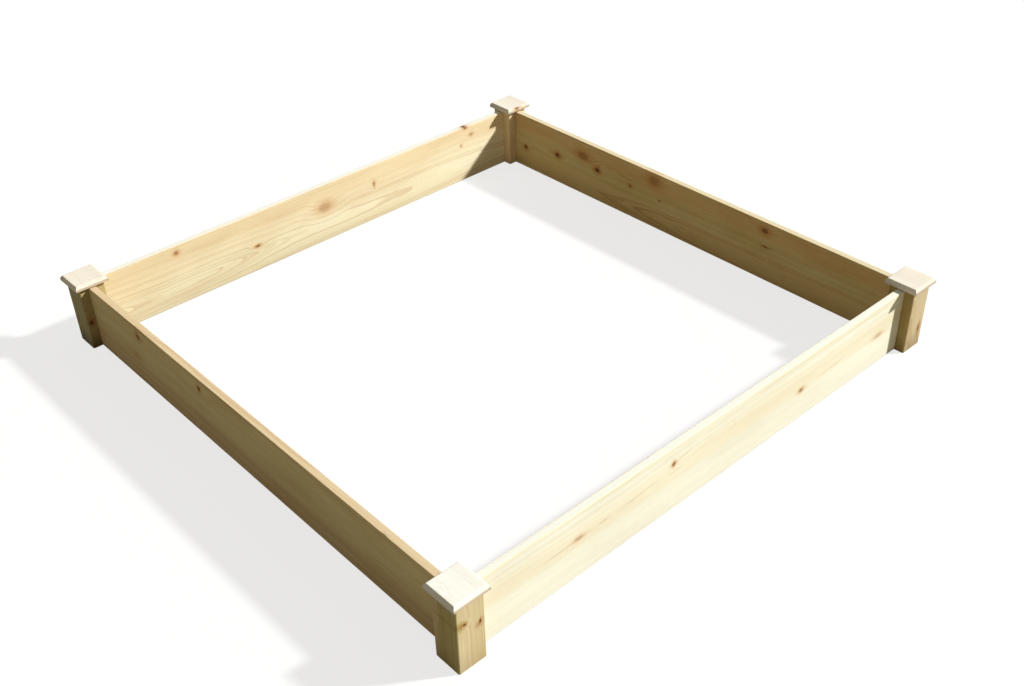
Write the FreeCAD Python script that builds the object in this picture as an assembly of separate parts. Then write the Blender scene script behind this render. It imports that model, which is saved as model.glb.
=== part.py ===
# Raised garden bed: four cedar boards held by sliding dovetails in four capped corner posts.
#
# Millimetres. +Z is up and the ground is z = 0. The origin is the middle of the bed at ground
# level, X runs left to right, and the front of the bed faces -Y.

import FreeCAD, Part
import math
import os

from FreeCAD import Vector

# ---- Driving dimensions ----

# The bed, over the outer faces of its posts
bed_width = 1219.2              # left to right
bed_depth = 1219.2              # front to back

# Boards
board_height = 139.7
board_thickness = 15.5
board_edge_radius = 1.5         # eased long edges

# Sliding dovetails, one on each end of a board
tail_depth = 11.0               # from the board's shoulder to the end of its tail
tail_angle = 14.0               # degrees between a tail's flank and the board's length
tail_side_clearance = 0.35      # square to a flank
tail_end_clearance = 0.6
shoulder_clearance = 0.4        # between a board's shoulder and the post's face

# Corner posts
post_width = 55.5
post_edge_radius = 2.5          # eased upright edges
board_top_gap = 2.8             # from a board's top edge up to the cap

# Post caps
cap_overhang = 7.75             # past each face of the post
cap_thickness = 11.1
cap_bevel_inset = 3.9
cap_bevel_drop = 5.6
cap_arris = 0.6                 # small flat sanded along the lower edge
cap_corner_radius = 1.2

# Finishing nails that hold a cap on its post
nail_length = 32.0
nail_diameter = 1.7
nail_head_diameter = 2.8
nail_head_height = 1.2
nail_point_length = 2.6
nail_edge_distance = 12.75      # from the post's faces to the middle of a nail
nail_side_clearance = 0.05
nail_point_clearance = 0.3

# How far a cutting form stands out past the face that it cuts
cut_overrun = 1.0

# ---- Derived dimensions ----

def flank_spread(depth):
    """How far one flank of a tail spreads over a depth along the board."""
    return depth * math.tan(math.radians(tail_angle))


tail_end_width = board_thickness
tail_neck_width = tail_end_width - 2 * flank_spread(tail_depth)

post_height = board_height + board_top_gap
cap_width = post_width + 2 * cap_overhang
cap_top = post_height + cap_thickness

post_centre_x = (bed_width - post_width) / 2
post_centre_y = (bed_depth - post_width) / 2
nail_offset = post_width / 2 - nail_edge_distance

# The front left corner is the pattern; the others are turned about +Z by these angles
corners = {
    "front_left": (-1, -1, 0),
    "front_right": (1, -1, 90),
    "back_right": (1, 1, 180),
    "back_left": (-1, 1, 270),
}

# The front board is the pattern; each board has the middle of its length at this place
boards = {
    "front": (0, -post_centre_y, 2 * post_centre_x, 0),
    "right": (post_centre_x, 0, 2 * post_centre_y, 90),
    "back": (0, post_centre_y, 2 * post_centre_x, 180),
    "left": (-post_centre_x, 0, 2 * post_centre_y, 270),
}


# ---- Shared forms ----

def prism(outline, height):
    """A plan outline of (x, y) points, extruded up from the ground."""
    points = [Vector(x, y, 0) for x, y in outline]
    wire = Part.makePolygon(points + points[:1])
    return Part.Face(wire).extrude(Vector(0, 0, height))


def mirrored(half_outline):
    """Points along the side at +Y, then the same ones back along the side at -Y."""
    return half_outline + [(x, -y) for x, y in reversed(half_outline)]


def centred_box(length, width, height):
    """A box on the ground, centred on the origin in plan."""
    return Part.makeBox(length, width, height, Vector(-length / 2, -width / 2, 0))


def edges_along(solid, axis):
    """The straight edges of a box that run along an axis."""
    found = []
    for edge in solid.Edges:
        start, end = (vertex.Point for vertex in edge.Vertexes)
        if (end - start).cross(axis).Length < 1e-6 * edge.Length:
            found.append(edge)
    return found


def standing_cylinder(diameter, bottom, top, x, y):
    return Part.makeCylinder(diameter / 2, top - bottom, Vector(x, y, bottom))


def placed(shape, x, y, turn):
    """A copy turned about +Z by an angle in degrees, then moved in plan."""
    copy = shape.copy()
    copy.rotate(Vector(0, 0, 0), Vector(0, 0, 1), turn)
    copy.translate(Vector(x, y, 0))
    return copy


# ---- The pieces ----

def board(post_spacing):
    """A plank along X between two posts, with a dovetail down the full height of each end."""
    shoulder = (post_spacing - post_width) / 2 - shoulder_clearance
    tail_end = shoulder + tail_depth
    bar = centred_box(2 * tail_end, board_thickness, board_height)
    bar = bar.makeFillet(board_edge_radius, edges_along(bar, Vector(1, 0, 0)))
    half_outline = [
        (-tail_end, tail_end_width / 2),
        (-shoulder, tail_neck_width / 2),
        (-shoulder, board_thickness / 2),
        (shoulder, board_thickness / 2),
        (shoulder, tail_neck_width / 2),
        (tail_end, tail_end_width / 2),
    ]
    return bar.common(prism(mirrored(half_outline), board_height))


def groove():
    """The space that a tail slides in, cut into the +X face of a post."""
    flank_offset = tail_side_clearance / math.cos(math.radians(tail_angle))
    face = post_width / 2
    bottom = face + shoulder_clearance - tail_depth - tail_end_clearance

    def half_width(x):
        depth = face + shoulder_clearance - x
        return tail_neck_width / 2 + flank_spread(depth) + flank_offset

    half_outline = [
        (bottom, half_width(bottom)),
        (face, half_width(face)),
        (face + cut_overrun, half_width(face)),
    ]
    return prism(mirrored(half_outline), post_height)


def nail_places():
    """Plan places of the two nails, on the diagonal that lies clear of both grooves."""
    return [(-nail_offset, nail_offset), (nail_offset, -nail_offset)]


def post():
    """A square post with a groove in each of the two faces that meet a board."""
    solid = centred_box(post_width, post_width, post_height)
    solid = solid.makeFillet(post_edge_radius, edges_along(solid, Vector(0, 0, 1)))
    for turn in (0, 90):
        solid = solid.cut(placed(groove(), 0, 0, turn))
    hole_bottom = cap_top - nail_length - nail_point_clearance
    hole_diameter = nail_diameter + 2 * nail_side_clearance
    for x, y in nail_places():
        solid = solid.cut(standing_cylinder(hole_diameter, hole_bottom, post_height, x, y))
    return solid


def cap():
    """A flat square cap with a bevel mitred round its top, and a hole for each nail."""
    edge = cap_width / 2
    left_section = [
        (cap_arris - edge, 0),
        (-edge, cap_arris),
        (-edge, cap_thickness - cap_bevel_drop),
        (cap_bevel_inset - edge, cap_thickness),
    ]
    section = left_section + [(-x, z) for x, z in reversed(left_section)]
    moulding = prism(section, cap_width)
    moulding.rotate(Vector(0, 0, 0), Vector(1, 0, 0), 90)
    moulding.translate(Vector(0, edge, 0))
    block = centred_box(cap_width, cap_width, cap_thickness)
    block = block.makeFillet(cap_corner_radius, edges_along(block, Vector(0, 0, 1)))
    solid = block.common(moulding).common(placed(moulding, 0, 0, 90))

    hole_diameter = nail_diameter + 2 * nail_side_clearance
    recess_diameter = nail_head_diameter + 2 * nail_side_clearance
    recess_bottom = cap_thickness - nail_head_height
    for x, y in nail_places():
        solid = solid.cut(standing_cylinder(hole_diameter, 0, cap_thickness, x, y))
        solid = solid.cut(standing_cylinder(recess_diameter, recess_bottom, cap_thickness, x, y))
    solid.translate(Vector(0, 0, post_height))
    return solid


def nail():
    """A finishing nail, point down, its head flush with the top of the cap."""
    half_profile = [
        (0, 0),
        (nail_diameter / 2, nail_point_length),
        (nail_diameter / 2, nail_length - nail_head_height),
        (nail_head_diameter / 2, nail_length - nail_head_height),
        (nail_head_diameter / 2, nail_length),
        (0, nail_length),
    ]
    points = [Vector(r, 0, cap_top - nail_length + z) for r, z in half_profile]
    wire = Part.makePolygon(points + points[:1])
    return Part.Face(wire).revolve(Vector(0, 0, 0), Vector(0, 0, 1), 360)


def cap_nails():
    return Part.makeCompound([placed(nail(), x, y, 0) for x, y in nail_places()])


# ---- The assembly ----

def assembly():
    """Every piece of the bed in its place, by node name."""
    pieces = {}
    for side, (x, y, post_spacing, turn) in boards.items():
        pieces[side + "_board"] = placed(board(post_spacing), x, y, turn)
    corner_patterns = {"post": post(), "cap": cap(), "cap_nails": cap_nails()}
    for corner, (side_x, side_y, turn) in corners.items():
        x = side_x * post_centre_x
        y = side_y * post_centre_y
        for kind, pattern in corner_patterns.items():
            pieces[corner + "_" + kind] = placed(pattern, x, y, turn)
    return pieces


os.makedirs("parts", exist_ok=True)
for name, shape in assembly().items():
    shape.exportStep("parts/" + name + ".step")
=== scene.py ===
import math
import random
from dataclasses import dataclass, field

import bmesh
import bpy
from mathutils import Euler, Matrix, Vector, noise


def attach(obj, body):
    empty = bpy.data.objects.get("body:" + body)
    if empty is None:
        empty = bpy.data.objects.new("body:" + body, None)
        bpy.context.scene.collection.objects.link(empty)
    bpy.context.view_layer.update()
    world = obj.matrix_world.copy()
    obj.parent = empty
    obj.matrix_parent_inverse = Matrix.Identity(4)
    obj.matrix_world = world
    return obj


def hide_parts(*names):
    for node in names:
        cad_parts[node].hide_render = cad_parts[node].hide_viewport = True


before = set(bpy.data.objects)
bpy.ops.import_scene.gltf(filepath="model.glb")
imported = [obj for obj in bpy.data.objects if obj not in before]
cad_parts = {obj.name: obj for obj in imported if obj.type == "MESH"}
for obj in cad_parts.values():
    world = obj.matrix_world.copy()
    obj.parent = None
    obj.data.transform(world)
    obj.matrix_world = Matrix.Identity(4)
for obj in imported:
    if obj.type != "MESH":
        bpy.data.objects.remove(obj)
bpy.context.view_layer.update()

# ---- View and light. Metres and degrees ----

camera_place = (-1.32947, -1.56588, 1.45048)
camera_azimuth = 41.43          # from +Y towards +X
camera_pitch = -35.41
camera_roll = -1.76
camera_lens = 42.96             # millimetres, on a sensor 36 mm wide

sun_direction = (1.5, -1.0, 1.25)   # from the bed towards the sun
sun_strength = 5.5
sun_angle = 4.0
fill_strength = 0.27
fill_colour = (1.0, 0.90, 0.70)
floor_radius = 12.0
floor_shadow_share = 0.25       # how much of the floor's white a full shadow could take away
floor_seen = (0.85, 0.85, 0.84, 1.0)        # its colour to the eye, under the shadow
floor_bounce = (0.22, 0.20, 0.15, 1.0)      # and to the bed
white = (1.0, 1.0, 1.0, 1.0)

# ---- Sizes of the pieces, millimetres ----

board_height = 139.7
board_thickness = 15.5
board_edge_radius = 1.5
shoulder = 553.7                # from the middle of a board to the shoulder of its tail
tail_end = 564.7
tail_neck = 5.008               # half the tail's width at the shoulder
tail_slope = 0.2493             # how fast each flank spreads towards the end
neck_strip = 1.7                # half the middle one of three strips across it
post_width = 55.5
post_edge_radius = 2.5
post_height = 142.5
groove_bottom = 16.55           # from the middle of the post
groove_mouth = 5.468            # half its width at the face
groove_foot = 8.26              # half its width at the bottom
cap_width = 71.0
cap_thickness = 11.1
cap_side_top = 5.5              # where the bevel starts
cap_bevel_inset = 3.9
cap_corner_radius = 1.2
# The section of a cap's side, from below: in from the outline, and height
cap_side = [(3.0, 0.0), (0.75, 0.0), (0.3, 0.15), (0.0, 0.65), (0.0, 2.8), (0.0, 5.1),
            (0.06, cap_side_top)]
# and of its top edge: in from the end of the bevel, and down from the top
cap_top = [(0.12, 0.14), (0.55, 0.0), (3.0, 0.0)]
nail_offset = 15.0
nail_hole_radius = 0.9
nail_hole_bottom = 121.3        # from the ground
nail_recess_radius = 1.45
nail_recess_depth = 1.2
post_centre = 581.85            # from the middle of the bed to the middle of a post

# ---- How worn the pieces are, millimetres ----

saw_marks = 0.07                # how deep the marks of the saw go, on average
saw_mark_size = 9.0             # across the grain
saw_mark_stretch = 6            # how much longer they are along it
knot_shrinkage = 0.25           # how deep the wood round a knot has sunk
knot_ring = (1.0, 0.45)         # where it has: middle and half width, in knot sizes
knot_bulge = 0.06               # how far the knot itself stands out
knot_core = (0.0, 0.9)
knocks_per_board = 9            # small dents in the long edges
knock_length = (3.0, 9.0)       # half of it, least and most
knock_width = 2.4
knock_depth = (0.3, 0.8)
cap_bevel_rub = 0.04
shoulder_fade = 18.0            # from a shoulder, how far it takes the wear to set in
groove_calm = 1.0               # beside a groove, how far there is no wear
groove_fade = 6.0               # and how far it takes to set in
# How much rounder than new an edge is on average, how far along it that changes, and how far
# apart the edges of a piece lie in the noise that changes it
board_rub = (0.3, 60.0, 300.0)
post_rub = (0.4, 50.0, 200.0)
drift_spacing = 7.31            # how far apart two pieces lie in such noise

# ---- How fine the meshes are, millimetres ----

millimetre = 0.001              # in metres
board_step = 8.0                # between rings along a board
row_step = 5.0                  # between rows across it
row_margin = 3.0                # from its edges to the first row
post_step = 6.0
face_reach = 24                 # from the middle of a post's face to its last point
face_strip = 3                  # between points on a plain face
groove_strip = 4                # and beside a groove
cap_step = 5.5
cap_face_reach = 33.0
cap_bevel_steps = 10
cap_knot_spot = (4.9, 9.0)      # a knot in the side of one cap: its middle and half width
fine_step = 2.2                 # near knots and dents
cap_fine_step = 1.5
knot_margin = 1.3               # how far the fine mesh reaches, in knot sizes
sharp_angle = 30.0              # degrees between two faces, from which their edge is sharp

# ---- What a piece of timber is ----


def srgb(red, green, blue):
    """A colour written as 0 to 255 screen values, as the linear one that a shader takes."""
    linear = []
    for value in (red, green, blue):
        value /= 255
        linear.append(value / 12.92 if value <= 0.04045 else ((value + 0.055) / 1.055) ** 2.4)
    return (*linear, 1.0)


@dataclass
class Knot:
    """A branch's place in a piece. It runs through the piece along y, or along z."""
    x: float                    # along the grain
    cross: float                # across it: z, or y for a knot that runs along z
    long: float                 # half its length along the grain
    high: float                 # half its width across the grain
    depth: float = 0.8          # how dark, from 0 to 1
    runs_along: str = "y"
    eye: float = 0.9            # how black its middle is, if it is a hard one


@dataclass
class Crack:
    """A drying crack in the faces of a piece, from one end to the other."""
    x0: float
    cross0: float
    x1: float
    cross1: float
    width: float = 0.9


@dataclass
class Knock:
    """A dent: where it is, how far it reaches along x, y and z, and how deep it goes."""
    place: tuple
    reach: tuple
    depth: float


@dataclass
class Timber:
    """How a piece was sawn from its log, in the piece's own frame: x along the grain, in mm."""
    pale: tuple                 # younger wood
    rich: tuple                 # older wood
    bands: list                 # (height across the grain from 0 to 1, share of the rich colour)
    pith: tuple                 # the log's middle, as (y, z) where x = 0
    lean: tuple = (0.0, 0.0)    # how far the pith moves in y and z for each mm along x
    ring: float = 3.2           # width of a yearly ring
    contrast: float = 0.5       # how much darker its late wood is
    warmth: float = 0.2         # how strong its tan patches are
    streaks: float = 0.6        # how far the two colours run into each other along the grain
    across: tuple = (0.0, 1.0)  # the bands' direction, in y and z
    span: tuple = (0.0, board_height)   # where the bands start and end, along that direction
    sides: tuple = (board_thickness / 2, 0.0, board_height)     # half width in y, low and high z
    worn: tuple = (white, 0.0)  # colour of its long edges, and how strong
    foot_darkening: float = 0.15          # how much darker it gets towards its foot
    painted_top_highlight: tuple = (white, 0.0)      # painted highlight: the paler colour of its upward faces, and how strong
    sun_side_shade: tuple = ()           # painted shade on its sunlit side: its way in y and z, start, full depth, and tone
    fade: float = 0.0           # how much paler it gets over each metre along the grain
    knots: list = field(default_factory=list)
    cracks: list = field(default_factory=list)
    knocks: list = field(default_factory=list)
    seed: float = 0.0


# ---- Shading ----


class Shader:
    """The nodes of a material or world. Each method adds one and gives back what it makes."""

    def __init__(self, owner):
        owner.use_nodes = True
        self.tree = owner.node_tree
        self.tree.nodes.clear()

    def node(self, kind, settings=None, **inputs):
        """A node with its settings, and its inputs by name: a socket to link or a plain value."""
        made = self.tree.nodes.new(kind)
        for key, value in (settings or {}).items():
            setattr(made, key, value)
        for key, value in inputs.items():
            self.feed(made.inputs[key.replace("_", " ")], value)
        return made

    def feed(self, socket, value):
        if isinstance(value, bpy.types.NodeSocket):
            self.tree.links.new(value, socket)
        else:
            socket.default_value = value

    def maths(self, operation, *values):
        made = self.tree.nodes.new("ShaderNodeMath")
        made.operation = operation
        for socket, value in zip(made.inputs, values):
            self.feed(socket, value)
        return made.outputs[0]

    def vector(self, operation, *values, output=0):
        made = self.tree.nodes.new("ShaderNodeVectorMath")
        made.operation = operation
        for socket, value in zip(made.inputs, values):
            self.feed(socket, value)
        return made.outputs[output]

    def parts(self, vector):
        """The x, y and z of a vector."""
        made = self.node("ShaderNodeSeparateXYZ", Vector=vector)
        return [made.outputs[axis] for axis in "XYZ"]

    def length(self, value):
        return self.vector("LENGTH", value, output="Value")

    def scaled(self, value, factors):
        return self.vector("MULTIPLY", value, factors)

    def blend(self, share, first, second, mode="MIX"):
        """A mix of two colours. A Mix node has theirs as sockets 6 and 7, and gives it as 2."""
        made = self.tree.nodes.new("ShaderNodeMix")
        made.data_type = "RGBA"
        made.blend_type = mode
        self.feed(made.inputs[0], share)
        self.feed(made.inputs[6], first)
        self.feed(made.inputs[7], second)
        return made.outputs[2]

    def cover(self, colour, mask, tone, share=1.0, mode="MIX"):
        """The colour under a coat of a tone, of which a share shows where the mask is 1."""
        return self.blend(self.maths("MULTIPLY", mask, share), colour, tone, mode)

    def tint(self, colour, mask, tone, share=1.0):
        """The colour multiplied by a tone where the mask is 1, as far as the share says."""
        return self.cover(colour, mask, tone, share, "MULTIPLY")

    def between(self, value, low, high, start=0.0, end=1.0, smooth=True):
        """start where value is at low, end where it is at high, and level past both."""
        kind = "SMOOTHSTEP" if smooth else "LINEAR"
        made = self.node("ShaderNodeMapRange", {"interpolation_type": kind, "clamp": True})
        for socket, number in zip(made.inputs, (value, low, high, start, end)):
            self.feed(socket, number)
        return made.outputs[0]

    def noise(self, vector, scale=1.0, detail=2.0, output="Fac"):
        made = self.node("ShaderNodeTexNoise", Vector=vector, Scale=scale, Detail=detail)
        return made.outputs[output]

    def steps(self, value, stops):
        """A grey level read from (position, level) stops."""
        made = self.node("ShaderNodeValToRGB", Fac=value)
        elements = made.color_ramp.elements
        made.color_ramp.interpolation = "EASE"
        for position, _ in stops[1:-1]:
            elements.new(position)
        for element, (_, level) in zip(elements, stops):
            element.color = (level, level, level, 1.0)
        return made.outputs["Color"]

    def either(self, share, first, second):
        """A mix of two surfaces or backgrounds, all of the second where the share is 1."""
        made = self.node("ShaderNodeMixShader")
        for socket, value in zip(made.inputs, (share, first.outputs[0], second.outputs[0])):
            self.feed(socket, value)
        return made

    def surface(self, **inputs):
        made = self.node("ShaderNodeBsdfPrincipled", **inputs)
        self.node("ShaderNodeOutputMaterial", Surface=made.outputs["BSDF"])


# ---- The look of the wood, which all pieces share ----

# Noises: how long and how wide their spots are in millimetres, and how much detail they have
slow_bends = (420, 160, 1.0)
fine_bends = (75, 28, 2.0)
fibres = (45, 0.8, 3.0)
streaks = (260, 5.5, 3.0)
patches = (190, 45, 3.0)
flecks = (16, 0.9, 1.0)
ragged = (6, 6, 3.0)
blotches = (9, 9, 2.0)
log_spacing = (917.0, 131.0, 57.0)      # how far apart the logs of two seeds lie in them

# How far the bends and a knot's ragged border stray in x, y and z, millimetres
slow_bend_reach = (0.0, 16.0, 16.0)
fine_bend_reach = (0.0, 2.2, 2.2)
ragged_reach = (2.6, 2.6, 2.6)

# Tones that multiply the wood's colour
late_tint = srgb(196, 150, 92)
patch_tint = srgb(226, 190, 134)
fleck_tint = srgb(190, 140, 84)
# The grain that shows through the painted highlight on upward faces
top_highlight_grain_tint = srgb(206, 160, 110)
halo_tint = srgb(226, 168, 104)
crack_tint = srgb(196, 144, 92)
foot_dark_tint = srgb(112, 98, 70)
end_tint = srgb(206, 170, 120)

# Tones that cover it
trail_tone = srgb(178, 122, 66)
knot_tones = (srgb(184, 130, 80), srgb(110, 72, 42))
rim_tone = srgb(42, 25, 14)
eye_tone = srgb(46, 27, 14)
crack_tone = srgb(96, 56, 28)

# How much of a tint or tone shows where its mask is 1
fleck_share = 0.35
top_highlight_grain_share = 0.25
halo_share = 0.6
trail_share = 0.5
core_share = 0.8
rim_share = 0.9
crack_tint_share = 0.85
crack_tone_share = 0.3
end_share = 0.55

# Distances from a knot, in knot sizes: 1 is its rim
rim_middle = 0.95
rim_reach = 0.4
halo_reach = (2.6, 0.9)         # where the halo ends, and where it is full
trail_oval = (3.2, 0.75)        # the trail's shape: how much longer and higher than the knot
trail_reach = (1.6, 0.2)
swell_oval = (1.6, 1.1)
swell_reach = (3.2, 0.2)
swell_in_bands = 0.8            # how far the colour bands follow the swell of the rings

# Yearly rings
pace_size = 0.35                # how fast the width of the rings changes from year to year
pace_change = 2.6               # and by how many years
late_start, late_full = 0.35, 0.9       # in a year from 0 to 1
year_end = 0.93                 # from here on, the late wood fades
least_late = 0.2                # how dark the late wood of the palest year is

# Masks along the outside of a piece
arris_width = 1.2               # of the wear along a long edge, millimetres
arris_stray = 2.4               # how far its border strays
foot_dark_top, foot_dark_full = 0.075, 0.02       # above the ground, metres
foot_dark_stray = 0.05               # how far its border strays
crack_border = (-0.25, 0.15)    # outside a crack's side and inside it, millimetres

# How far each stands out of the surface, millimetres
late_rise = 0.05
fibre_rise = 0.10
knot_rise = 0.12
crack_rise = -0.15
smoothest, roughest = 0.7, 0.86
wood_specular = 0.12


class Wood(Shader):
    """Solid wood: every face of a piece, its ends too, shows the same log cut through."""

    def __init__(self, material, timber, centre, turn):
        super().__init__(material)
        self.timber = timber
        self.turn = [math.radians(angle) for angle in turn]
        coordinates = self.node("ShaderNodeTexCoord")
        self.position, self.facing = coordinates.outputs["Object"], coordinates.outputs["Normal"]
        self.local = self.node(
            "ShaderNodeMapping",
            {"vector_type": "TEXTURE"},
            Vector=self.position,
            Location=[value / 1000 for value in centre],
            Rotation=self.turn,
            Scale=(millimetre, millimetre, millimetre),
        ).outputs["Vector"]
        self.log = self.vector("ADD", self.local, [timber.seed * gap for gap in log_spacing])
        bent = self.strayed(self.local, slow_bends, slow_bend_reach)
        self.bent = self.strayed(bent, fine_bends, fine_bend_reach)
        self.fibre = self.grain(fibres)
        self.streak = self.grain(streaks)
        self.patch = self.grain(patches)
        self.knots = self.knot_masks()
        self.late = self.late_wood()
        self.crack = self.crack_mask()

    def grain(self, spots, output="Fac"):
        """One of the noises above, in this piece's log."""
        length, width, detail = spots
        stretch = (1 / length, 1 / width, 1 / width)
        return self.noise(self.scaled(self.log, stretch), detail=detail, output=output)

    def strayed(self, place, spots, reach):
        """The place, moved to and fro by up to half the reach in x, y and z."""
        sway = self.vector("SUBTRACT", self.grain(spots, "Color"), (0.5, 0.5, 0.5))
        return self.vector("ADD", place, self.scaled(sway, reach))

    def knot_distance(self, place, knot, longer=1.0, higher=1.0):
        """How far from a knot's axis, where 1 is its rim, or that of a longer and higher oval."""
        along = 1 / (knot.long * longer)
        across = 1 / (knot.high * higher)
        if knot.runs_along == "y":
            centre, shrink = (knot.x, 0.0, knot.cross), (along, 0.0, across)
        else:
            centre, shrink = (knot.x, knot.cross, 0.0), (along, across, 0.0)
        return self.length(self.scaled(self.vector("SUBTRACT", place, centre), shrink))

    def knot_masks(self):
        """What the knots do at each place: masks from 0 to 1, and the swell of the rings in mm."""
        masks = dict.fromkeys(("core", "eye", "rim", "halo", "trail", "swell"), 0.0)

        def add(name, value, operation="MAXIMUM"):
            masks[name] = self.maths(operation, value, masks[name])

        near = self.strayed(self.local, ragged, ragged_reach)
        for knot in self.timber.knots:
            away = self.knot_distance(near, knot)
            off_rim = self.maths("ABSOLUTE", self.maths("SUBTRACT", away, rim_middle))
            trail = self.knot_distance(near, knot, *trail_oval)
            swell = self.knot_distance(self.local, knot, *swell_oval)
            # A darker knot has a harder border and bends the rings more
            soft = 0.2 + 0.5 * (1 - knot.depth)
            lift = (0.5 + knot.depth) * knot.high
            add("core", self.between(away, 0.9 + soft, 0.9 - soft, 0.0, knot.depth))
            add("eye", self.between(away, 1.0, 0.3, 0.0, knot.depth * knot.eye))
            add("rim", self.between(off_rim, rim_reach, 0.0, 0.0, knot.depth))
            add("halo", self.between(away, *halo_reach, 0.0, knot.depth))
            add("trail", self.between(trail, *trail_reach, 0.0, knot.depth))
            add("swell", self.between(swell, *swell_reach, 0.0, lift), "ADD")
        return masks

    def late_wood(self):
        """0 in the early wood of a year, and up to 1 in its late wood, which varies by year."""
        timber = self.timber
        along, y, z = self.parts(self.bent)
        pith_y = self.maths("MULTIPLY_ADD", along, -timber.lean[0], -timber.pith[0])
        pith_z = self.maths("MULTIPLY_ADD", along, -timber.lean[1], -timber.pith[1])
        off_y, off_z = self.maths("ADD", y, pith_y), self.maths("ADD", z, pith_z)
        spoke = self.node("ShaderNodeCombineXYZ", Y=off_y, Z=off_z).outputs["Vector"]
        radius = self.maths("ADD", self.length(spoke), self.knots["swell"])
        years = self.maths("DIVIDE", radius, timber.ring)
        line = {"noise_dimensions": "1D"}
        slowed = self.maths("MULTIPLY", years, pace_size)
        pace = self.node("ShaderNodeTexNoise", line, W=slowed, Detail=1.0).outputs["Fac"]
        years = self.maths("MULTIPLY_ADD", pace, pace_change, years)
        year = self.maths("FRACT", years)
        rise, fall = self.between(year, late_start, late_full), self.between(year, 1.0, year_end)
        count = self.maths("FLOOR", years)
        vigour = self.node("ShaderNodeTexWhiteNoise", line, W=count).outputs["Value"]
        vigour = self.maths("MULTIPLY_ADD", vigour, 1 - least_late, least_late)
        return self.maths("MULTIPLY", self.maths("MULTIPLY", rise, fall), vigour)

    def crack_line(self, crack):
        """1 in the middle of a crack and 0 past its sides; it narrows to both ends."""
        run = crack.x1 - crack.x0
        x, _, z = self.parts(self.bent)
        along = self.maths("DIVIDE", self.maths("SUBTRACT", x, crack.x0), run)
        line = self.maths("MULTIPLY_ADD", along, crack.cross1 - crack.cross0, crack.cross0)
        off = self.maths("ABSOLUTE", self.maths("SUBTRACT", z, line))
        taper = self.maths("MULTIPLY", along, self.maths("SUBTRACT", 1.0, along))
        half = self.maths("MULTIPLY", self.maths("MULTIPLY", taper, 4.0), crack.width / 2)
        return self.between(self.maths("SUBTRACT", half, off), *crack_border)

    def crack_mask(self):
        """1 in the cracks, and less where a streak of sound wood bridges them."""
        dark = 0.0
        for crack in self.timber.cracks:
            dark = self.maths("MAXIMUM", self.crack_line(crack), dark)
        return self.maths("MULTIPLY", dark, self.between(self.streak, 0.35, 0.55, 0.15, 1.0))

    def banded(self):
        """The pale and the rich colour, in bands across the piece that run into each other."""
        timber = self.timber
        place = self.vector("DOT_PRODUCT", self.bent, (0.0, *timber.across), output="Value")
        place = self.maths("MULTIPLY_ADD", self.knots["swell"], swell_in_bands, place)
        share = self.steps(self.between(place, *timber.span, smooth=False), timber.bands)
        stray = self.maths("MULTIPLY_ADD", self.streak, timber.streaks, -timber.streaks / 2)
        share = self.node("ShaderNodeClamp", Value=self.maths("ADD", share, stray)).outputs[0]
        return self.blend(share, timber.pale, timber.rich)

    def brightness(self):
        """How bright the wood is, near 1: by fibre and by patch, and fading along the piece."""
        along = self.parts(self.local)[0]
        fibre = self.between(self.fibre, 0.25, 0.75, 0.94, 1.03, smooth=False)
        patch = self.between(self.patch, 0.3, 0.7, 1.03, 0.97, smooth=False)
        fade = self.maths("MULTIPLY_ADD", along, self.timber.fade / 1000, 1.0)
        return self.maths("MULTIPLY", self.maths("MULTIPLY", fibre, patch), fade)

    def sound(self):
        """The colour of the wood where nothing has touched it."""
        timber = self.timber
        colour = self.tint(self.banded(), self.late, late_tint, timber.contrast)
        warm = self.between(self.patch, 0.35, 0.8, 0.0, timber.warmth)
        colour = self.tint(colour, warm, patch_tint)
        scale = {"operation": "SCALE"}
        lit = self.node("ShaderNodeVectorMath", scale, Vector=colour, Scale=self.brightness())
        fleck = self.between(self.grain(flecks), 0.66, 0.8, 0.0, fleck_share)
        colour = self.tint(lit.outputs["Vector"], fleck, fleck_tint)
        # Painted shade: the side of the piece that takes the sun is darkened.
        if timber.sun_side_shade:
            way, start, full, tone = timber.sun_side_shade
            inward = self.vector("DOT_PRODUCT", self.local, (0.0, *way), output="Value")
            colour = self.tint(colour, self.between(inward, start, full), tone)
        return colour

    def top_highlight_and_wear(self, colour):
        """Faces that look up get a painted highlight, paler as if sunlit, and long edges are worn,
        with a ragged border.
        """
        painted_top_highlight, share = self.timber.painted_top_highlight
        painted_top_highlight = self.tint(painted_top_highlight, self.late, top_highlight_grain_tint, top_highlight_grain_share)
        # Painted highlight: faces that look up, which the sun lights, are made paler.
        upward = self.between(self.parts(self.facing)[2], 0.9, 0.99, 0.0, share)
        colour = self.blend(upward, colour, painted_top_highlight)
        worn, share = self.timber.worn
        if not share:
            return colour
        half_width, bottom, top = self.timber.sides
        _, y, z = self.parts(self.local)
        from_side = self.maths("SUBTRACT", half_width, self.maths("ABSOLUTE", y))
        from_middle = self.maths("ABSOLUTE", self.maths("SUBTRACT", z, (bottom + top) / 2))
        from_edge = self.maths("SUBTRACT", (top - bottom) / 2, from_middle)
        arris = self.maths("MAXIMUM", from_side, from_edge)
        arris = self.maths("SUBTRACT", arris, arris_width)
        arris = self.maths("MULTIPLY_ADD", self.streak, arris_stray, arris)
        return self.blend(self.between(arris, 1.8, 0.5, 0.0, share), colour, worn)

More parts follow.
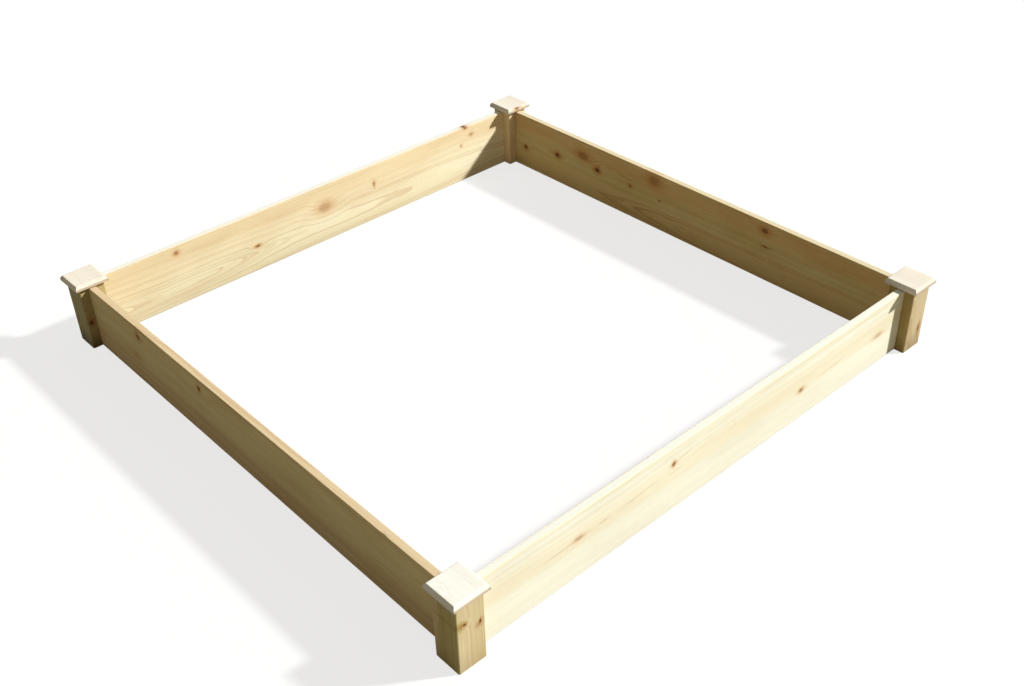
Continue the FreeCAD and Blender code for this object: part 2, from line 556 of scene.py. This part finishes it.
    def knotted(self, colour):
        """A halo, streaks that trail away, and a core, with a dark rim and eye if it is hard."""
        core = self.knots["core"]
        streaky = self.maths("ADD", self.streak, self.maths("MULTIPLY", self.fibre, 0.5))
        trail = self.maths("MULTIPLY", self.knots["trail"], self.between(streaky, 0.6, 0.95))
        patchy = self.between(self.grain(blotches), 0.3, 0.6, 0.25, 1.0)
        hard = self.between(core, 0.5, 0.9, smooth=False)
        rim = self.maths("MULTIPLY", self.maths("MULTIPLY", self.knots["rim"], patchy), hard)
        eye = self.maths("MULTIPLY", self.maths("MULTIPLY", self.knots["eye"], patchy), hard)
        colour = self.tint(colour, self.knots["halo"], halo_tint, halo_share)
        colour = self.cover(colour, trail, trail_tone, trail_share)
        colour = self.cover(colour, core, self.blend(self.fibre, *knot_tones), core_share)
        colour = self.cover(colour, rim, rim_tone, rim_share)
        return self.cover(colour, eye, eye_tone)

    def darkened(self, colour):
        """Cracks are dark, the foot gets darker towards the ground, and sawn ends drink in light.
        """
        colour = self.tint(colour, self.crack, crack_tint, crack_tint_share)
        colour = self.cover(colour, self.crack, crack_tone, crack_tone_share)
        ground = self.maths("MULTIPLY_ADD", self.patch, foot_dark_stray, self.parts(self.position)[2])
        foot_dark = self.between(ground, foot_dark_top, foot_dark_full, 0.0, self.timber.foot_darkening)
        colour = self.tint(colour, foot_dark, foot_dark_tint)
        grain = Euler(self.turn).to_matrix().col[0]
        end = self.vector("DOT_PRODUCT", self.facing, grain, output="Value")
        end = self.between(self.maths("ABSOLUTE", end), 0.75, 0.98, 0.0, end_share)
        return self.tint(colour, end, end_tint)

    def height(self):
        """How far the wood stands out of its surface, in mm."""
        height = self.maths("MULTIPLY", self.late, late_rise)
        height = self.maths("MULTIPLY_ADD", self.fibre, fibre_rise, height)
        height = self.maths("MULTIPLY_ADD", self.knots["core"], knot_rise, height)
        return self.maths("MULTIPLY_ADD", self.crack, crack_rise, height)


def cedar(name, timber, centre, turn):
    """The material of one piece: its timber's middle and turn give where the grain runs."""
    material = bpy.data.materials.new(name)
    wood = Wood(material, timber, centre, turn)
    colour = wood.darkened(wood.knotted(wood.top_highlight_and_wear(wood.sound())))
    bump = wood.node("ShaderNodeBump", Strength=1.0, Distance=millimetre, Height=wood.height())
    wood.surface(
        Base_Color=colour,
        Roughness=wood.between(wood.fibre, 0.2, 0.8, smoothest, roughest, smooth=False),
        Normal=bump.outputs["Normal"],
        Specular_IOR_Level=wood_specular,
    )
    return material


def dress(node, material):
    """Gives a carried-over piece its finish."""
    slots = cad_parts[node].data.materials
    slots.clear()
    slots.append(material)


# ---- Worked surfaces: each in the frame of its timber, x along the grain, in millimetres ----


def hill(value, middle, reach):
    """1 at the middle, falling smoothly to 0 at the end of its reach on either side."""
    share = max(0.0, 1 - abs(value - middle) / reach)
    return share * share * (3 - 2 * share)


def drift(timber, point, size):
    """Noise from -1 to 1 that changes slowly over a distance of size."""
    return noise.noise([value / size + timber.seed * drift_spacing for value in point])


def relief(timber, point):
    """How far below the sawn surface the worn one lies at a point."""
    x, y, z = point
    depth = saw_marks + saw_marks * drift(timber, (x / saw_mark_stretch, y, z), saw_mark_size)
    for knot in timber.knots:
        across = z if knot.runs_along == "y" else y
        away = math.hypot((x - knot.x) / knot.long, (across - knot.cross) / knot.high)
        shrunk, raised = hill(away, *knot_ring), hill(away, *knot_core)
        depth += knot.depth * (knot_shrinkage * shrunk - knot_bulge * raised)
    for knock in timber.knocks:
        parts = zip(point, knock.place, knock.reach)
        away = math.hypot(*((value - middle) / reach for value, middle, reach in parts))
        depth += knock.depth * hill(away, 0.0, 1.0)
    return max(depth, 0.0)


def fading(distance, reach):
    """0 up to a distance of 0, and 1 from reach on."""
    return 1 - hill(max(distance, 0.0), 0.0, reach)


def knock_edges(timber):
    """Adds small dents at random places along a board's long edges."""
    edges = [(y, z) for y in (-board_thickness / 2, board_thickness / 2) for z in (0, board_height)]
    chance = random.Random(timber.seed)
    for _ in range(knocks_per_board):
        x = chance.uniform(-0.5, 0.5) * 2 * shoulder
        reach = (chance.uniform(*knock_length), knock_width, knock_width)
        place = (x, *chance.choice(edges))
        timber.knocks.append(Knock(place, reach, chance.uniform(*knock_depth)))


def walk(low, high, coarse, fine, spots):
    """Places from low to high, close together on the spots, which are (middle, half width)."""
    places = [low]
    while places[-1] < high - fine:
        here = places[-1]
        near = any(abs(here - middle) < half + coarse for middle, half in spots)
        places.append(here + (fine if near else coarse))
    if places[-1] > high - fine:
        places.pop()
    return places + [high]


def knot_spots(timber):
    """Where along a piece its knots need a fine mesh."""
    return [(knot.x, knot_margin * knot.long) for knot in timber.knots]


def turned(point, degrees):
    x, y = point
    cosine, sine = math.cos(math.radians(degrees)), math.sin(math.radians(degrees))
    return (cosine * x - sine * y, sine * x + cosine * y)


def arc(centre, radius, start, end, count=4):
    """Points on a rounded edge, each with the way that it faces."""
    made = []
    for step in range(count + 1):
        facing = turned((1.0, 0.0), start + (end - start) * step / count)
        made.append(((centre[0] + radius * facing[0], centre[1] + radius * facing[1]), facing))
    return made


def circle(centre, radius, count=20):
    return [point for point, _ in arc(centre, radius, 0, 360, count)][:-1]


class Skin:
    """A closed surface made of rings of points. Points in one place are one vertex."""

    def __init__(self):
        self.mesh = bmesh.new()
        self.known = {}

    def vertex(self, point):
        key = tuple(round(value, 4) for value in point)
        if key not in self.known:
            self.known[key] = self.mesh.verts.new(point)
        return self.known[key]

    def corners(self, points):
        """The vertices at these points, each one once."""
        return list(dict.fromkeys(self.vertex(point) for point in points))

    def face(self, points):
        corners = self.corners(points)
        if len(corners) > 2:
            self.mesh.faces.new(corners)

    def bands(self, rings):
        """Faces between each ring and the next."""
        for lower, upper in zip(rings, rings[1:]):
            for index in range(len(lower)):
                after = (index + 1) % len(lower)
                self.face((lower[index], lower[after], upper[after], upper[index]))

    def fill(self, *loops):
        """A flat face inside the first loop, with the others as holes in it."""
        edges = []
        for loop in loops:
            corners = self.corners(loop)
            for pair in zip(corners, corners[1:] + corners[:1]):
                edges.append(self.mesh.edges.get(pair) or self.mesh.edges.new(pair))
        bmesh.ops.triangle_fill(self.mesh, use_beauty=True, edges=edges)


def worked(node, skin, timber, body, centre, turn):
    """The skin, in its place and in its own wood, as the piece that stands for a CAD node."""
    name = node + "_timber"
    bmesh.ops.recalc_face_normals(skin.mesh, faces=skin.mesh.faces)
    mesh = bpy.data.meshes.new(name)
    skin.mesh.to_mesh(mesh)
    skin.mesh.free()
    rotation = Euler([math.radians(angle) for angle in turn]).to_matrix().to_4x4()
    mesh.transform(Matrix.Scale(millimetre, 4) @ Matrix.Translation(centre) @ rotation)
    mesh.shade_smooth()
    mesh.set_sharp_from_angle(angle=math.radians(sharp_angle))
    mesh.materials.append(cedar(node + "_cedar", timber, centre, turn))
    made = bpy.data.objects.new(name, mesh)
    bpy.context.scene.collection.objects.link(made)
    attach(made, body)
    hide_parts(node)


def board_section(timber, x, rows):
    """Round a board at x: points (y, z) with the way that each faces, and how worn it is there."""
    half = board_thickness / 2
    wear = fading(shoulder - abs(x), shoulder_fade)
    amount, size, gap = board_rub
    radii = []
    for edge in range(4):
        rub = amount + amount * drift(timber, (x, gap * edge, 0.0), size)
        radii.append(board_edge_radius + rub * wear)
    strips = (-tail_neck, -neck_strip, neck_strip, tail_neck)
    section = [((-half, z), (-1.0, 0.0)) for z in rows]
    section += arc((radii[0] - half, board_height - radii[0]), radii[0], 180, 90)
    section += [((y, board_height), (0.0, 1.0)) for y in strips]
    section += arc((half - radii[1], board_height - radii[1]), radii[1], 90, 0)
    section += [((half, z), (1.0, 0.0)) for z in reversed(rows)]
    section += arc((half - radii[2], radii[2]), radii[2], 0, -90)
    section += [((y, 0.0), (0.0, -1.0)) for y in reversed(strips)]
    section += arc((radii[3] - half, radii[3]), radii[3], -90, -180)
    return section, wear


def board_ring(timber, x, rows, widest=board_thickness):
    """The worn section of a board at x, cut off at a half width, as points."""
    section, wear = board_section(timber, x, rows)
    ring = []
    for (y, z), facing in section:
        depth = relief(timber, (x, y, z)) * wear
        y = min(max(y - facing[0] * depth, -widest), widest)
        ring.append((x, y, z - facing[1] * depth))
    return ring


def board_skin(timber):
    """A plank with a dovetail down each end."""
    heights = [(knot.cross, knot_margin * knot.high) for knot in timber.knots]
    rows = walk(row_margin, board_height - row_margin, row_step, fine_step, heights)
    spots = knot_spots(timber) + [(knock.place[0], knock.reach[0]) for knock in timber.knocks]
    places = walk(-shoulder, shoulder, board_step, fine_step, spots)
    body = [board_ring(timber, x, rows) for x in places]
    tail = []
    for x in (shoulder, (shoulder + tail_end) / 2, tail_end):
        tail.append(board_ring(timber, x, rows, tail_neck + (x - shoulder) * tail_slope))
    other = [[(-x, y, z) for x, y, z in ring] for ring in reversed(tail)]
    rings = other + body + tail
    skin = Skin()
    skin.bands(rings)
    skin.face(rings[0])
    skin.face(rings[-1])
    return skin


def post_face(grooved):
    """The +X face of a post in plan: points (x, y), each with its wear from 0 to 1."""
    half = post_width / 2
    if not grooved:
        return [((half, y), 1.0) for y in range(-face_reach, face_reach + 1, face_strip)]
    side = []
    for y in range(-face_reach, -round(groove_mouth), groove_strip):
        side.append(((half, y), fading(-y - groove_mouth - groove_calm, groove_fade)))
    side += [((half, -groove_mouth), 0.0), ((groove_bottom, -groove_foot), 0.0)]
    return side + [((x, -y), wear) for (x, y), wear in reversed(side)]


def post_outline(timber, height):
    """Round a post at a height: points (x, y) in plan, the way each faces, and its wear."""
    amount, size, gap = post_rub
    outline = []
    for side, grooved in enumerate((False, True, True, False)):
        rub = amount * drift(timber, (height, gap * side, 0.0), size)
        radius = post_edge_radius + amount + rub
        middle = post_width / 2 - radius
        made = [(point, (1.0, 0.0), wear) for point, wear in post_face(grooved)]
        made += [(*spot, 1.0) for spot in arc((middle, middle), radius, 0, 90)]
        quarter = 90 * (side - 1)
        for point, facing, wear in made:
            outline.append((turned(point, quarter), turned(facing, quarter), wear))
    return outline


def post_ring(timber, height, turn):
    """The worn outline of a post at a height, turned in plan, for a post that lies along x."""
    ring = []
    for point, facing, wear in post_outline(timber, height):
        (x, y), facing = turned(point, turn), turned(facing, turn)
        depth = wear * relief(timber, (height, y, -x))
        ring.append((height, y - depth * facing[1], depth * facing[0] - x))
    return ring


def nail_places(turn):
    return [turned((-nail_offset, nail_offset), turn), turned((nail_offset, -nail_offset), turn)]


def post_skin(timber, turn):
    """A post with a dovetail groove in two faces and a hole for each nail. It lies along x."""
    heights = walk(0.0, post_height, post_step, fine_step, knot_spots(timber))
    rings = [post_ring(timber, height, turn) for height in heights]
    skin = Skin()
    skin.bands(rings)
    skin.fill(rings[0])
    holes = []
    for place in nail_places(turn):
        hole = circle(place, nail_hole_radius)
        wall = [[(height, y, -x) for x, y in hole] for height in (nail_hole_bottom, post_height)]
        skin.bands(wall)
        skin.face(wall[0])
        holes.append(wall[1])
    skin.fill(rings[-1], *holes)
    return skin


def cap_profile():
    """The side of a cap from below, its edges a little rubbed: (half its width, height)."""
    half = cap_width / 2
    slope = cap_bevel_inset / (cap_thickness - cap_side_top)
    profile = [(half - inset, z) for inset, z in cap_side]
    for step in range(1, cap_bevel_steps):
        z = cap_side_top + step / cap_bevel_steps * (cap_thickness - cap_side_top)
        profile.append((half - cap_bevel_rub - (z - cap_side_top) * slope, z))
    top = half - cap_bevel_inset
    return profile + [(top - inset, cap_thickness - drop) for inset, drop in cap_top]


def cap_ring(timber, half, z):
    """The worn square outline of a cap where it is z high and half as wide, as points."""
    places = walk(-cap_face_reach, cap_face_reach, cap_step, cap_fine_step, [cap_knot_spot])
    middle = half - cap_corner_radius
    side = [((half, place * half / (cap_width / 2)), (1.0, 0.0)) for place in places]
    side += arc((middle, middle), cap_corner_radius, 0, 90)
    ring = []
    for quarter in (0, 90, 180, 270):
        for point, facing in side:
            (x, y), facing = turned(point, quarter), turned(facing, quarter)
            depth = relief(timber, (x, y, z))
            ring.append((x - depth * facing[0], y - depth * facing[1], z))
    return ring


def cap_skin(timber, turn):
    """A cap with a bevel all round and a hole for each nail."""
    rings = [cap_ring(timber, half, z) for half, z in cap_profile()]
    skin = Skin()
    skin.bands(rings)
    lower, upper = [], []
    for place in nail_places(turn - 90):
        narrow, wide = circle(place, nail_hole_radius), circle(place, nail_recess_radius)
        step = cap_thickness - nail_recess_depth
        levels = ((narrow, 0.0), (narrow, step), (wide, step), (wide, cap_thickness))
        walls = [[(x, y, z) for x, y in outline] for outline, z in levels]
        skin.bands(walls)
        lower.append(walls[0])
        upper.append(walls[-1])
    skin.fill(rings[0], *lower)
    skin.fill(rings[-1], *upper)
    return skin


# ---- The timber of each piece ----

# The front and back boards, whose sunlit faces show, have pale washed-out tones, and the left and
# right boards, whose shaded faces show, richer ones: partly their own tones, partly painted light
# and shade.
cream = srgb(247, 247, 228)
peach = srgb(247, 238, 206)
gold = srgb(242, 234, 202)
apricot = srgb(241, 223, 182)
olive = srgb(224, 212, 157)
moss = srgb(234, 222, 168)
russet = srgb(223, 197, 152)
amber = srgb(225, 193, 138)
chalk = srgb(228, 227, 217)
blush = srgb(224, 213, 194)
umber = srgb(120, 86, 48)

# In each board, the colour for its upward faces is a painted highlight, and its darker side is
# painted shade on the side that takes the sun.
boards = {
    "front": Timber(
        pale=cream,
        rich=peach,
        bands=[(0.0, 0.0), (0.4, 0.1), (0.52, 0.6), (0.6, 0.85), (0.7, 0.75), (0.8, 0.4),
               (0.92, 0.1), (0.96, 0.75), (1.0, 0.4)],
        pith=(46.0, 152.0),
        lean=(0.012, -0.01),
        ring=3.2,
        contrast=0.2,
        warmth=0.06,
        streaks=0.5,
        worn=(srgb(216, 204, 171), 0.8),
        foot_darkening=0.03,
        painted_top_highlight=(srgb(232, 235, 224), 1.0),
        fade=0.03,
        knots=[
            Knot(-340, 84.5, 10, 4.5, 0.5),
            Knot(-117, 103, 4.2, 5.4, 0.95, eye=0.65),
            Knot(235, 68, 7, 5, 0.7),
            Knot(480, 71, 13, 5, 0.4),
        ],
        cracks=[
            Crack(283, 73, 376, 78),
            Crack(-420, 80, -352, 83.5, 0.7),
            Crack(-345, 92, -296, 99, 0.5),
            Crack(-300, 84.5, -268, 87.5, 0.8),
            Crack(-245, 86, -163, 92, 0.6),
            Crack(-111, 105, -70, 108.5, 1.0),
            Crack(-130, 84, -92, 87, 0.6),
            Crack(-462, 113, -438, 116, 0.7),
        ],
        seed=1.0,
    ),
    "right": Timber(
        pale=olive,
        rich=amber,
        bands=[(0.0, 0.6), (0.36, 0.5), (0.52, 0.15), (0.66, 0.4), (0.8, 0.85), (1.0, 0.7)],
        pith=(70.0, 30.0),
        lean=(0.01, 0.01),
        ring=3.4,
        contrast=0.48,
        warmth=0.3,
        worn=(umber, 0.6),
        foot_darkening=0.2,
        painted_top_highlight=(srgb(214, 204, 172), 0.95),
        sun_side_shade=((-1.0, 0.0), 1.0, 6.0, srgb(237, 235, 232)),
        fade=-0.14,
        knots=[
            Knot(514, 56, 6, 6, 0.95),
            Knot(399, 74, 8, 7, 0.95),
            Knot(311, 103, 18, 11, 0.7, eye=0.25),
            Knot(263, 82, 9, 7, 0.95),
            Knot(155, 80, 5, 4, 0.7),
            Knot(81.5, 120.5, 17, 12, 0.65, eye=0.2),
            Knot(63, 75.5, 2.5, 2.2, 0.8),
            Knot(-236.5, 119.4, 10, 8, 0.75),
            Knot(-241, 81.6, 7, 2.5, 0.8),
        ],
        cracks=[Crack(240, 104, 201, 105), Crack(196, 103, 150, 96, 1.2)],
        seed=2.0,
    ),
    "back": Timber(
        pale=gold,
        rich=apricot,
        bands=[(0.0, 0.3), (0.4, 0.1), (0.6, 0.5), (0.85, 0.95), (1.0, 0.9)],
        pith=(64.0, 40.0),
        lean=(-0.012, 0.006),
        ring=3.6,
        contrast=0.34,
        warmth=0.2,
        worn=(srgb(194, 171, 124), 0.85),
        painted_top_highlight=(chalk, 0.95),
        fade=-0.24,
        knots=[
            Knot(381, 124, 6, 5, 0.7),
            Knot(188, 60, 7, 3.5, 0.85),
            Knot(2, 86, 17, 13, 0.5),
            Knot(-140, 92, 3, 8, 0.65),
            Knot(-427, 139, 6, 4, 0.8),
            Knot(-445, 116, 6, 4.5, 0.55),
            Knot(-411, 95, 3, 3.5, 0.55),
        ],
        seed=3.0,
    ),
    "left": Timber(
        pale=moss,
        rich=russet,
        bands=[(0.0, 0.9), (0.3, 0.85), (0.46, 0.2), (0.7, 0.15), (1.0, 0.3)],
        pith=(66.0, -46.0),
        lean=(0.01, -0.003),
        ring=4.6,
        contrast=0.58,
        warmth=0.3,
        streaks=0.85,
        worn=(umber, 0.5),
        foot_darkening=0.08,
        painted_top_highlight=(srgb(208, 188, 153), 0.95),
        sun_side_shade=((1.0, 0.0), 1.0, 6.0, srgb(238, 236, 232)),
        knocks=[Knock((418, -board_thickness / 2, board_height), (12, 3, 4), 1.2)],
        knots=[
            Knot(-358, 118, 6, 7, 0.9),
            Knot(-132.5, 116.5, 5, 6.5, 0.9),
            Knot(-384.5, 59, 16, 9, 0.25),
        ],
        seed=4.0,
    ),
}

post_traits = dict(
    across=(0.9, 0.43),
    span=(-0.67 * post_width, 0.67 * post_width),
    sides=(post_width / 2, -post_width / 2, post_width / 2),
    lean=(0.02, 0.01),
    ring=3.0,
    contrast=0.4,
    warmth=0.2,
    worn=(srgb(236, 216, 172), 0.45),
    # Painted shade: each post's +X face, which takes the sun, is darkened.
    sun_side_shade=((0.0, -1.0), 23.0, 27.0, srgb(233, 231, 226)),
)

posts = {
    "front_left": Timber(
        pale=srgb(220, 203, 162),
        rich=srgb(185, 173, 113),
        bands=[(0.0, 0.2), (0.28, 0.1), (0.38, 0.9), (0.8, 0.85), (0.86, 0.25), (1.0, 0.2)],
        pith=(40.0, 35.0),
        knots=[
            Knot(97.5, 11.5, 2.4, 3.4, 1.0),
            Knot(98.5, 19, 3.0, 7.5, 0.5),
            Knot(83.5, -18, 4.2, 2.6, 1.0),
            Knot(79, -14, 4.6, 4.6, 0.45),
        ],
        foot_darkening=0.2,
        seed=10.0,
        **post_traits,
    ),
    "front_right": Timber(
        pale=srgb(214, 199, 162),
        rich=srgb(182, 161, 103),
        bands=[(0.0, 0.1), (0.3, 0.25), (0.38, 0.95), (1.0, 0.9)],
        pith=(45.0, 20.0),
        knots=[Knot(41.5, -14, 11, 3.6, 0.8)],
        foot_darkening=0.4,
        seed=11.0,
        **post_traits,
    ),
    "back_right": Timber(
        # Paler than the other posts, standing in for light that its inner corner lacks: painted
        # light.
        pale=srgb(252, 240, 206),
        rich=srgb(239, 210, 158),
        bands=[(0.0, 0.2), (0.5, 0.5), (1.0, 0.4)],
        pith=(-40.0, 38.0),
        seed=12.0,
        **post_traits,
    ),
    "back_left": Timber(
        pale=srgb(173, 169, 127),
        rich=srgb(186, 167, 120),
        bands=[(0.0, 0.8), (0.3, 0.9), (0.38, 0.1), (1.0, 0.2)],
        pith=(44.0, 50.0),
        knots=[Knot(60.6, 17.9, 6, 4.5, 1.0), Knot(54.5, 13.7, 6, 4, 0.5, "z")],
        foot_darkening=0.85,
        seed=13.0,
        **post_traits,
    ),
}

cap_traits = dict(
    rich=blush,
    pith=(25.0, -60.0),
    lean=(0.03, 0.01),
    ring=3.4,
    contrast=0.14,
    warmth=0.03,
    foot_darkening=0.0,
    span=(0, cap_thickness),
    # Painted shade: each cap's +X side, which takes the sun, is darkened.
    sun_side_shade=((-1.0, 0.0), 31.0, 33.5, srgb(220, 219, 215)),
)
white_cap = dict(pale=srgb(234, 235, 228), bands=[(0.0, 0.3), (0.5, 0.2), (1.0, 0.1)], **cap_traits)
plain_cap = dict(pale=chalk, bands=[(0.0, 0.3), (0.5, 0.2), (1.0, 0.5)], **cap_traits)

caps = {
    "front_left": Timber(seed=20.0, **white_cap),
    "front_right": Timber(seed=21.0, **plain_cap),
    "back_right": Timber(
        knots=[Knot(-33.5, 4.9, 1.1, 8, 1.0, "z")],
        knocks=[Knock((-33.5, 4.9, 8.3), (3.0, 8.0, 0.9), 0.8)],
        seed=22.0,
        **plain_cap,
    ),
    "back_left": Timber(seed=23.0, **plain_cap),
}

# ---- The pieces in their places ----

# The middle of each board's length, and its turn about +Z
board_places = {
    "front": ((0, -post_centre, 0), 0),
    "right": ((post_centre, 0, 0), 90),
    "back": ((0, post_centre, 0), 180),
    "left": ((-post_centre, 0, 0), 270),
}

# The side of the bed that each corner lies on in x and y, and its turn about +Z
corners = {
    "front_left": (-1, -1, 0),
    "front_right": (1, -1, 90),
    "back_right": (1, 1, 180),
    "back_left": (-1, 1, 270),
}

for side, (centre, turn) in board_places.items():
    timber = boards[side]
    knock_edges(timber)
    skin = board_skin(timber)
    worked(side + "_board", skin, timber, "boards", centre, (0, 0, turn))

for corner, (side_x, side_y, turn) in corners.items():
    x, y = side_x * post_centre, side_y * post_centre
    body = corner + "_corner"
    timber = posts[corner]
    skin = post_skin(timber, turn)
    worked(corner + "_post", skin, timber, body, (x, y, 0), (0, -90, 0))
    timber = caps[corner]
    skin = cap_skin(timber, turn)
    worked(corner + "_cap", skin, timber, body, (x, y, post_height), (0, 0, 90))


def galvanised():
    """Bright zinc with a faint mottle."""
    material = bpy.data.materials.new("galvanised_nail")
    shader = Shader(material)
    position = shader.node("ShaderNodeTexCoord").outputs["Object"]
    mottle = shader.noise(position, scale=900.0, detail=3.0)
    tones = (srgb(226, 218, 202), srgb(240, 232, 216))
    bump = shader.node("ShaderNodeBump", Strength=0.4, Distance=0.0002, Height=mottle)
    shader.surface(
        Base_Color=shader.blend(shader.between(mottle, 0.3, 0.7), *tones),
        Roughness=shader.between(mottle, 0.3, 0.7, 0.3, 0.5),
        Normal=bump.outputs["Normal"],
        Metallic=1.0,
    )
    return material


zinc = galvanised()
for corner in corners:
    dress(corner + "_cap_nails", zinc)

# ---- Floor, light and camera ----


def seen(shader):
    """1 for a ray from the eye, straight, mirrored or through glass, and 0 for any other."""
    path = shader.node("ShaderNodeLightPath")
    rays = shader.maths("MAXIMUM", path.outputs["Is Camera Ray"], path.outputs["Is Glossy Ray"])
    return shader.maths("MAXIMUM", rays, path.outputs["Is Transmission Ray"])


def floor_material():
    """White to the eye, with a pale shadow, and a dull bounce on the bed."""
    material = bpy.data.materials.new("floor")
    shader = Shader(material)
    glow = shader.node("ShaderNodeEmission", Color=white, Strength=1.0)
    pale = shader.node("ShaderNodeBsdfDiffuse", Color=floor_seen)
    dull = shader.node("ShaderNodeBsdfDiffuse", Color=floor_bounce)
    shown = shader.either(floor_shadow_share, glow, pale)
    both = shader.either(seen(shader), dull, shown)
    shader.node("ShaderNodeOutputMaterial", Surface=both.outputs[0])
    return material


bpy.ops.mesh.primitive_circle_add(vertices=96, radius=floor_radius, fill_type="NGON")
floor = bpy.context.object
floor.name = "floor"
floor.data.materials.append(floor_material())

world = bpy.data.worlds.new("studio")
bpy.context.scene.world = world
studio = Shader(world)
fill = studio.node("ShaderNodeBackground", Color=(*fill_colour, 1.0), Strength=fill_strength)
backdrop = studio.node("ShaderNodeBackground", Color=white, Strength=1.0)
sky = studio.either(seen(studio), fill, backdrop)
studio.node("ShaderNodeOutputWorld", Surface=sky.outputs[0])

sun_data = bpy.data.lights.new("sun", "SUN")
sun_data.energy = sun_strength
sun_data.angle = math.radians(sun_angle)
sun = bpy.data.objects.new("sun", sun_data)
bpy.context.scene.collection.objects.link(sun)
sun.rotation_euler = Vector(sun_direction).to_track_quat("Z", "Y").to_euler()

camera_data = bpy.data.cameras.new("camera")
camera_data.lens = camera_lens
camera_data.sensor_width = 36.0
camera = bpy.data.objects.new("camera", camera_data)
bpy.context.scene.collection.objects.link(camera)
camera.matrix_world = (
    Matrix.Translation(camera_place)
    @ Matrix.Rotation(math.radians(-camera_azimuth), 4, "Z")
    @ Matrix.Rotation(math.radians(90 + camera_pitch), 4, "X")
    @ Matrix.Rotation(math.radians(camera_roll), 4, "Z")
)
bpy.context.scene.camera = camera
bpy.context.scene.view_settings.view_transform = "Standard"
